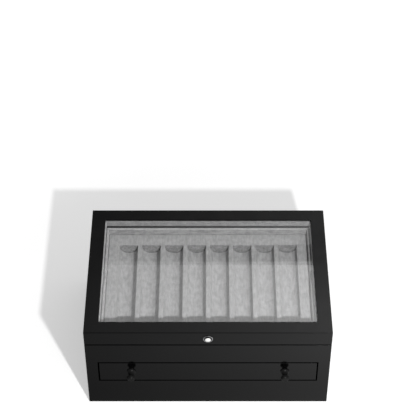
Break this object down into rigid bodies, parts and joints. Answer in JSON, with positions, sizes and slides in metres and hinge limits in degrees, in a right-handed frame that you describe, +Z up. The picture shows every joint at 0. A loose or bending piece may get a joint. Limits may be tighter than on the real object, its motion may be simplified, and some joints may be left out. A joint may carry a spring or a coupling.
{
  "type": "pen collector chest",
  "caption": "Black lacquered chest with a hinged glass lid, a push-button latch and a drawer, with velvet channels that hold pens.",
  "frame": {"origin": "centre of the chest's underside", "axes": "+X to the right along the chest's width, +Y to the back where the hinges are, +Z up"},
  "size_m": [0.34, 0.2556, 0.1525],
  "materials": {
    "black_lacquer": "polished black lacquer",
    "grey_velvet": "short grey velvet over board",
    "clear_glass": "clear flat glass",
    "chrome": "polished chrome",
    "black_plastic": "glossy black",
    "pale_inlay": "polished pale enamel",
    "nickel_steel": "nickel-plated steel",
    "bare_wood": "bare sanded wood",
    "black_felt": "black felt"
  },
  "bodies": {
    "case": {"case_side_left": "black_lacquer", "case_side_right": "black_lacquer", "case_back": "black_lacquer", "case_front_lower_rail": "black_lacquer", "case_front_upper_rail": "black_lacquer", "lining_front": "grey_velvet", "lining_back": "grey_velvet", "lining_left": "grey_velvet", "lining_right": "grey_velvet", "pen_tray": "grey_velvet", "hinge_case_leaf_left": "nickel_steel", "hinge_case_leaf_right": "nickel_steel", "hinge_pins": "nickel_steel", "case_hinge_screws": "nickel_steel", "strike_plate": "nickel_steel", "strike_plate_screws": "nickel_steel", "drawer_runner_left": "black_plastic", "drawer_runner_right": "black_plastic", "case_bottom": "bare_wood", "drawer_shelf": "bare_wood", "tray_shelf": "bare_wood", "drawer_kicker_left": "bare_wood", "drawer_kicker_right": "bare_wood", "drawer_stop": "bare_wood", "base_felt": "black_felt", "drawer_bumpers": "black_felt", "lid_bumpers": "black_felt"},
    "lid": {"lid_rail_front": "black_lacquer", "lid_rail_back": "black_lacquer", "lid_rail_left": "black_lacquer", "lid_rail_right": "black_lacquer", "glazing_bead_front": "grey_velvet", "glazing_bead_back": "grey_velvet", "glazing_bead_left": "grey_velvet", "glazing_bead_right": "grey_velvet", "lid_glass": "clear_glass", "hinge_lid_leaf_left": "nickel_steel", "hinge_lid_leaf_right": "nickel_steel", "lid_hinge_screws": "nickel_steel", "button_bezel": "chrome"},
    "button": {"button_cap": "black_plastic", "button_inlay": "pale_inlay", "latch_stem": "nickel_steel", "latch_tongue": "nickel_steel", "button_spring": "nickel_steel"},
    "drawer": {"drawer_front": "black_lacquer", "drawer_side_left": "bare_wood", "drawer_side_right": "bare_wood", "drawer_back": "bare_wood", "drawer_bottom": "bare_wood", "drawer_pen_tray": "grey_velvet", "drawer_knob_left": "black_plastic", "drawer_knob_right": "black_plastic", "knob_screws": "nickel_steel"}
  },
  "joints": [
    {"name": "lid_hinge", "type": "hinge", "parent": "case", "child": "lid", "pos_m": [0, 0.1204, 0.127], "axis": [-1, 0, 0], "range_deg": [0, 95]},
    {"name": "drawer_slide", "type": "slide", "parent": "case", "child": "drawer", "axis": [0, -1, 0], "range_m": [0, 0.15]},
    {"name": "button_press", "type": "slide", "parent": "lid", "child": "button", "axis": [0, 1, 0], "range_m": [0, 0.002], "stiffness_N_per_m": 500, "springref_m": -0.003, "deforming": ["button_spring"]}
  ]
}
